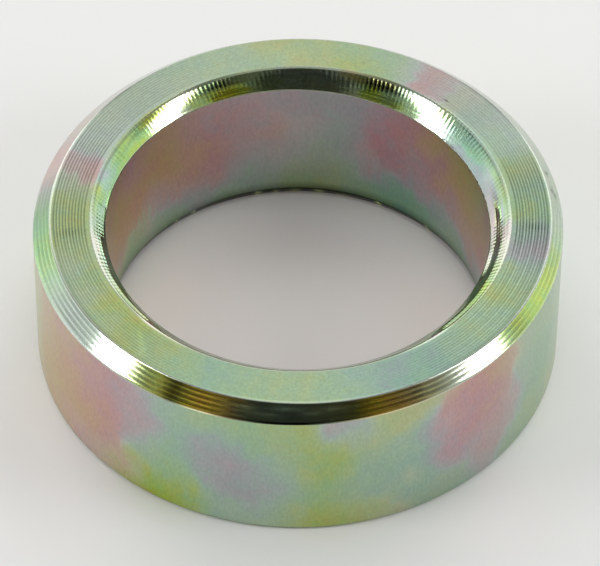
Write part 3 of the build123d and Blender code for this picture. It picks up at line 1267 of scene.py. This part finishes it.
@dataclass(frozen=True)
class ZincChromate:
    """Electroplated zinc with a yellow chromate conversion film.

    The zinc is a bright metal that keeps the lathe's marks. The clear film on it is some
    hundredths of a micron to half a micron thick, and light that is reflected at its two sides
    interferes, so the metal takes pastel greens, yellows and pinks that follow the thickness.

    Attributes:
        film_colours: The film's colour at each share of an order.
        bare_zinc: The colour where no film shows.
        mottle_mm: The size of the broad blotches of the film, and speckle_mm of the fine ones.
        mottle_step: How many orders the blotches span, and speckle_step for the fine ones.
        line_mm: The spacing of the finest turning lines, with line_height_mm their height.
        line_drift: How fast a line changes on its way round, in cells of noise a radian.
        nodule_mm: The size of the plating's nodules, with nodule_height_mm their height.
        grain_mm: The width of the walls' upright grain.
        grain_stretch: How much longer than wide it is.
        grain_depth: How much darker or paler it is.
    """

    film_colours: tuple[tuple[float, str], ...] = (
        (0.00, "74B898"), (0.12, "8AC278"), (0.24, "ACC448"), (0.36, "C0B028"),
        (0.47, "CC9C40"), (0.57, "D08A62"), (0.66, "CC7486"), (0.75, "B4849E"),
        (0.84, "9A94A8"), (0.92, "84A4A6"), (1.00, "74B898"),
    )
    bare_zinc: str = "C9CCC4"
    mottle_mm: float = 1.9
    mottle_step: float = 0.27
    speckle_mm: float = 0.3
    speckle_step: float = 0.08
    line_mm: float = 0.05
    line_height_mm: float = 0.0008
    line_drift: float = 3.0
    nodule_mm: float = 0.35
    nodule_height_mm: float = 0.003
    grain_mm: float = 0.2
    grain_stretch: float = 2.2
    grain_depth: float = 0.075

    def build(self) -> bpy.types.Material:
        """Makes the material from the film, shade, rough and section attributes, where shade is
        mostly painted shade and painted light.

        The film vector's direction gives the order, and its length the share of colour.

        Returns:
            The finished material.
        """
        material = blank_material("zinc_yellow_chromate")
        tree = material.node_tree
        place = add_node(tree, "ShaderNodeTexCoord").outputs["Object"]
        film, shade, rough, section = (
            add_node(tree, "ShaderNodeAttribute", {"attribute_name": name}).outputs[socket]
            for name, socket in (("film", "Vector"), ("shade", "Fac"), ("rough", "Fac"),
                                 ("section", "Fac")))
        share = add_node(tree, "ShaderNodeVectorMath", {"operation": "LENGTH"}, {
            0: film}).outputs["Value"]
        arrow = add_node(tree, "ShaderNodeSeparateXYZ", {}, {0: film})
        turn = add_node(tree, "ShaderNodeMath", {"operation": "ARCTAN2"}, {
            0: arrow.outputs["Y"], 1: arrow.outputs["X"]}).outputs[0]
        shift = add_node(tree, "ShaderNodeMath", {"operation": "DIVIDE"}, {
            0: turn, 1: 2 * math.pi}).outputs[0]

        mottle = add_node(tree, "ShaderNodeTexNoise", {}, {
            "Vector": place, "Scale": 1 / (self.mottle_mm * MM), "Detail": 3.0, "Roughness": 0.55})
        speckle = add_node(tree, "ShaderNodeTexNoise", {}, {
            "Vector": place, "Scale": 1 / (self.speckle_mm * MM), "Detail": 2.0})
        for blotch, step in ((mottle, self.mottle_step), (speckle, self.speckle_step)):
            shift = add_node(tree, "ShaderNodeMath", {"operation": "MULTIPLY_ADD"}, {
                0: blotch.outputs["Fac"], 1: step, 2: shift}).outputs[0]
        shift = add_node(tree, "ShaderNodeMath", {"operation": "ADD"}, {
            0: shift, 1: 1 - (self.mottle_step + self.speckle_step) / 2}).outputs[0]
        cycle = add_node(tree, "ShaderNodeMath", {"operation": "FRACT"}, {0: shift}).outputs[0]
        ramp = add_node(tree, "ShaderNodeValToRGB", {}, {"Fac": cycle})
        self.fill(ramp.color_ramp)
        colour = add_node(tree, "ShaderNodeMix", {"data_type": "RGBA"}, {
            0: share, 6: linear(self.bare_zinc), 7: ramp.outputs["Color"]}).outputs[2]

        # The shade attribute scales the colour: painted shade where it is above 0 and painted
        # light below 0, besides a few real specks and a scratch.
        light = add_node(tree, "ShaderNodeMath", {"operation": "SUBTRACT"}, {
            0: 1.0, 1: shade}).outputs[0]
        light = add_node(tree, "ShaderNodeMath", {"operation": "MULTIPLY"}, {
            0: light, 1: self.upright_grain(tree, place)}).outputs[0]
        colour = add_node(tree, "ShaderNodeVectorMath", {"operation": "SCALE"}, {
            0: colour, "Scale": light}).outputs[0]

        nodules = add_node(tree, "ShaderNodeTexNoise", {}, {
            "Vector": place, "Scale": 1 / (self.nodule_mm * MM), "Detail": 1.0}).outputs["Fac"]
        height = add_node(tree, "ShaderNodeMath", {"operation": "MULTIPLY_ADD"}, {
            0: nodules, 1: self.nodule_height_mm / self.line_height_mm,
            2: self.turned_lines(tree, place, section)}).outputs[0]
        bump = add_node(tree, "ShaderNodeBump", {}, {
            "Strength": 1.0, "Distance": self.line_height_mm * MM, "Height": height})
        shader = add_node(tree, "ShaderNodeBsdfPrincipled", {}, {
            "Base Color": colour, "Metallic": 1.0, "Roughness": rough,
            "Normal": bump.outputs["Normal"]})
        add_node(tree, "ShaderNodeOutputMaterial", {}, {"Surface": shader.outputs["BSDF"]})
        return material

    def upright_grain(self, tree: bpy.types.NodeTree,
                      place: bpy.types.NodeSocket) -> bpy.types.NodeSocket:
        """Makes the faint upright grain of the plated walls, as a factor near 1.

        Args:
            tree: The material's tree.
            place: The place on the piece.

        Returns:
            The factor.
        """
        fine = 1 / (self.grain_mm * MM)
        where = add_node(tree, "ShaderNodeVectorMath", {"operation": "MULTIPLY"}, {
            0: place, 1: (fine, fine, fine / self.grain_stretch)}).outputs[0]
        grain = add_node(tree, "ShaderNodeTexNoise", {}, {
            "Vector": where, "Scale": 1.0, "Detail": 2.0, "Roughness": 0.6}).outputs["Fac"]
        return add_node(tree, "ShaderNodeMapRange", {}, {
            "Value": grain, "From Min": 0.3, "From Max": 0.7,
            "To Min": 1 - self.grain_depth, "To Max": 1 + self.grain_depth}).outputs[0]

    def turned_lines(self, tree: bpy.types.NodeTree, place: bpy.types.NodeSocket,
                     section: bpy.types.NodeSocket) -> bpy.types.NodeSocket:
        """Makes the finest turning lines, which run round the sleeve.

        They are noise that changes fast along the section and slowly round the sleeve: its
        first two axes are the direction round the sleeve and its third is the section.

        Args:
            tree: The material's tree.
            place: The place on the piece.
            section: The way along the section, in millimetres.

        Returns:
            The lines' height, from 0 to 1.
        """
        flat = add_node(tree, "ShaderNodeVectorMath", {"operation": "MULTIPLY"}, {
            0: place, 1: (1.0, 1.0, 0.0)}).outputs[0]
        unit = add_node(tree, "ShaderNodeVectorMath", {"operation": "NORMALIZE"}, {
            0: flat}).outputs[0]
        unit = add_node(tree, "ShaderNodeVectorMath", {"operation": "SCALE"}, {
            0: unit, "Scale": self.line_drift}).outputs[0]
        rise = add_node(tree, "ShaderNodeMath", {"operation": "MULTIPLY"}, {
            0: section, 1: 1 / self.line_mm}).outputs[0]
        rise = add_node(tree, "ShaderNodeCombineXYZ", {}, {"Z": rise}).outputs[0]
        where = add_node(tree, "ShaderNodeVectorMath", {"operation": "ADD"}, {
            0: unit, 1: rise}).outputs[0]
        return add_node(tree, "ShaderNodeTexNoise", {}, {
            "Vector": where, "Scale": 1.0, "Detail": 1.0}).outputs["Fac"]

    def fill(self, ramp: bpy.types.ColorRamp) -> None:
        """Sets the ramp's stops to the film's colours.

        Args:
            ramp: The colour ramp.
        """
        while len(ramp.elements) < len(self.film_colours):
            ramp.elements.new(0.5)
        for stop, (place, code) in zip(ramp.elements, self.film_colours):
            stop.position = place
            stop.color = linear(code)


# -------------------------------------------------------------------------------- the studio

FOLDS_PER_METRE = 55.0  # How close together an uneven card's pale places are


def direction(azimuth: float, elevation: float) -> Vector:
    """Gives the unit vector towards a place round the sleeve and above the floor.

    Args:
        azimuth: The place's angle round the sleeve, in degrees.
        elevation: Its height above the floor, in degrees.

    Returns:
        The vector.
    """
    x, y = around(azimuth)
    rise = math.radians(elevation)
    return Vector((float(x) * math.cos(rise), float(y) * math.cos(rise), math.sin(rise)))


@dataclass(frozen=True)
class Panel:
    """A rectangle of light that faces the sleeve.

    Attributes:
        name: Its name.
        azimuth: Its direction round the sleeve, in degrees.
        elevation: Its height above the floor, in degrees.
        distance: Its distance from the sleeve, in metres.
        wide: Its width in metres.
        high: Its height in metres.
        level: Its light.
        soft: The share of its half width over which a card's upright edges fade out.
        uneven: How much lighter a card's palest places are.
    """

    name: str
    azimuth: float
    elevation: float
    distance: float
    wide: float
    high: float
    level: float
    soft: float = 0.0
    uneven: float = 0.0

    def matrix(self) -> Matrix:
        """Gives the panel's place, with its front towards the sleeve.

        Returns:
            The panel's matrix.
        """
        toward = direction(self.azimuth, self.elevation)
        turn = toward.to_track_quat("Z", "Y")
        return Matrix.Translation(toward * self.distance) @ turn.to_matrix().to_4x4()

    def add_soft_box(self) -> None:
        """Adds a soft box of an even level, which lights the floor.

        The metal doesn't see it: a card stands for it in the sleeve's reflections.
        """
        lamp = bpy.data.lights.new(self.name, "AREA")
        lamp.shape = "RECTANGLE"
        lamp.size, lamp.size_y = self.wide, self.high
        lamp.energy = self.level * math.pi * self.wide * self.high
        box = bpy.data.objects.new(self.name, lamp)
        box.matrix_world = self.matrix()
        box.visible_glossy = False
        bpy.context.scene.collection.objects.link(box)

    def add_card(self) -> None:
        """Adds a flat glowing card that only reflections see."""
        card = sheet(self.name, self.wide, self.high)
        card.matrix_world = self.matrix()
        material = blank_material(self.name)
        tree, half = material.node_tree, self.wide / 2
        place = add_node(tree, "ShaderNodeTexCoord").outputs["Object"]
        side = add_node(tree, "ShaderNodeSeparateXYZ", {}, {0: place}).outputs["X"]
        off = add_node(tree, "ShaderNodeMath", {"operation": "ABSOLUTE"}, {0: side}).outputs[0]
        solid = add_node(tree, "ShaderNodeMapRange", {"interpolation_type": "SMOOTHSTEP"}, {
            "Value": off, "From Min": half, "From Max": half * (1 - self.soft)}).outputs[0]
        folds = add_node(tree, "ShaderNodeTexNoise", {}, {
            "Vector": place, "Scale": FOLDS_PER_METRE, "Detail": 2.0}).outputs["Fac"]
        folds = add_node(tree, "ShaderNodeMapRange", {}, {
            "Value": folds, "From Min": 0.5, "From Max": 0.8,
            "To Min": self.level, "To Max": self.level + self.uneven}).outputs[0]
        glow = add_node(tree, "ShaderNodeEmission", {}, {"Strength": folds})
        clear = add_node(tree, "ShaderNodeBsdfTransparent")
        both = add_node(tree, "ShaderNodeMixShader", {}, {
            0: solid, 1: clear.outputs[0], 2: glow.outputs[0]})
        add_node(tree, "ShaderNodeOutputMaterial", {}, {"Surface": both.outputs[0]})
        card.data.materials.append(material)
        card.visible_camera = False
        card.visible_diffuse = False
        card.visible_shadow = False


SOFT_BOXES = tuple(Panel(*row) for row in (
    ("top_box", 0, 89, .7, .3, .3, 1.65),
    ("back_box_right", 148, 34, .6, .3, .62, 1.48),
    ("back_box_left", -148, 34, .6, .3, .62, 1.48),
    ("side_box_right", 76, 31, .45, .17, .17, 5.5),
    ("side_box_left", -75.5, 31, .45, .15, .17, 5.5),
))
CARDS = tuple(Panel(*row) for row in (
    ("back_card_right", 148, 34, .58, .3, .62, 1.55, .3),
    ("back_card_left", -148, 34, .58, .3, .62, 1.55, .3),
    ("side_card_right", 76.5, 33, .44, .13, .36, 7, .3),
    ("side_card_left", -76, 33, .44, .125, .36, 7, .3),
    ("rear_card_right", 116, 38, .56, .32, .28, 1.05, .4),
    ("rear_card_left", -116, 38, .56, .32, .28, 1.05, .4),
    ("back_panel", 180, 47, .62, .165, .62, .8, .1),
    ("camera_card", 0, 46, .6, .52, .6, .01, .1, .3),
    ("low_card_right", 37, 29, .62, .26, .24, .06, .1, .7),
    ("high_card_right", 38, 56, .62, .2, .3, .08, .1, .5),
    ("low_card_left", -38, 29, .62, .34, .24, .06, .1, .7),
    ("high_card_left", -40, 56, .62, .26, .3, .08, .1, .5),
))


@dataclass(frozen=True)
class Studio:
    """A pale paper floor, soft boxes on both sides, dark and grey cards, and the camera.

    Attributes:
        sizes: The sleeve's sizes, which place the camera.
        elevation: The camera's height above the face, in degrees.
        distance: Its distance from the middle of the upper face, in outer radii.
        lens: Its focal length in millimetres, on a sensor 36 mm wide.
        drop: How far below the middle of the face the camera aims, in outer radii.
        side: How far to the right of it, in outer radii.
        roll: The camera's roll in degrees.
        floor_width: The floor's width in metres.
    """

    sizes: SleeveSizes
    elevation: float = 46.46
    distance: float = 17.56
    lens: float = 280.0
    drop: float = 0.2585
    side: float = 0.0076
    roll: float = 0.325
    floor_width: float = 6.0

    def build(self) -> None:
        """Builds the floor, the world, the lights, the cards and the camera."""
        self.floor()
        self.world()
        for box in SOFT_BOXES:
            box.add_soft_box()
        for card in CARDS:
            card.add_card()
        self.camera()
        log.info("studio: %d soft boxes, %d cards", len(SOFT_BOXES), len(CARDS))

    def floor(self) -> None:
        """Lays the pale paper floor."""
        floor = sheet("paper_floor", self.floor_width, self.floor_width)
        material = blank_material("matt_paper")
        shader = add_node(material.node_tree, "ShaderNodeBsdfPrincipled", {}, {
            "Base Color": linear("E2E2E0"), "Roughness": 0.9, "Specular IOR Level": 0.1})
        add_node(material.node_tree, "ShaderNodeOutputMaterial", {}, {
            "Surface": shader.outputs["BSDF"]})
        floor.data.materials.append(material)

    @staticmethod
    def world() -> None:
        """Lights the scene with a pale room, brighter low down at the sides and the back."""
        world = bpy.data.worlds.new("pale_room")
        world.use_nodes = True
        tree = world.node_tree
        tree.nodes.clear()
        toward = add_node(tree, "ShaderNodeTexCoord").outputs["Generated"]
        toward = add_node(tree, "ShaderNodeSeparateXYZ", {}, {0: toward})
        low, rear = (
            add_node(tree, "ShaderNodeMapRange", {"interpolation_type": "SMOOTHSTEP"}, {
                "Value": toward.outputs[axis], "From Min": dark, "From Max": light}).outputs[0]
            for axis, dark, light in (("Z", 0.55, 0.30), ("Y", -0.25, -0.05)))
        both = add_node(tree, "ShaderNodeMath", {"operation": "MULTIPLY"}, {
            0: low, 1: rear}).outputs[0]
        level = add_node(tree, "ShaderNodeMapRange", {}, {
            "Value": both, "To Min": 0.52, "To Max": 1.1}).outputs[0]
        shade = add_node(tree, "ShaderNodeBackground", {}, {
            "Color": linear("FAFAFA"), "Strength": level})
        add_node(tree, "ShaderNodeOutputWorld", {}, {"Surface": shade.outputs[0]})
        bpy.context.scene.world = world

    def camera(self) -> None:
        """Places the camera in front of and above the sleeve."""
        radius = self.sizes.outer_radius * MM
        middle = Vector((0.0, 0.0, self.sizes.length * MM))
        toward = direction(0.0, self.elevation)
        eye = middle + toward * self.distance * radius
        right = Vector((1.0, 0.0, 0.0))
        up = toward.cross(right)
        roll = math.radians(self.roll)
        right, up = (right * math.cos(roll) + up * math.sin(roll),
                     up * math.cos(roll) - right * math.sin(roll))
        aim = middle - up * self.drop * radius + right * self.side * radius
        back = (eye - aim).normalized()
        right = (right - back * right.dot(back)).normalized()
        up = back.cross(right)
        camera = bpy.data.cameras.new("camera")
        camera.lens = self.lens
        camera.sensor_width = 36.0
        camera.clip_start = 0.01
        camera.clip_end = 20.0
        holder = bpy.data.objects.new("camera", camera)
        turn = Matrix((right, up, back)).transposed().to_4x4()
        holder.matrix_world = Matrix.Translation(eye) @ turn
        bpy.context.scene.collection.objects.link(holder)
        bpy.context.scene.camera = holder


def main() -> None:
    """Builds the sleeve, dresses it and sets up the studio."""
    logging.basicConfig(level=logging.INFO, format="%(name)s: %(message)s")
    bpy.context.scene.view_settings.view_transform = "Standard"
    sizes = SleeveSizes.from_frame()
    piece = TurnedSleeve(sizes, ToolMarks()).build(ChromateFilm(FINISHES))
    piece.data.materials.append(ZincChromate().build())
    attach(piece, BODY)
    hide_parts(NODE)
    Studio(sizes).build()


if __name__ == "__main__":
    main()
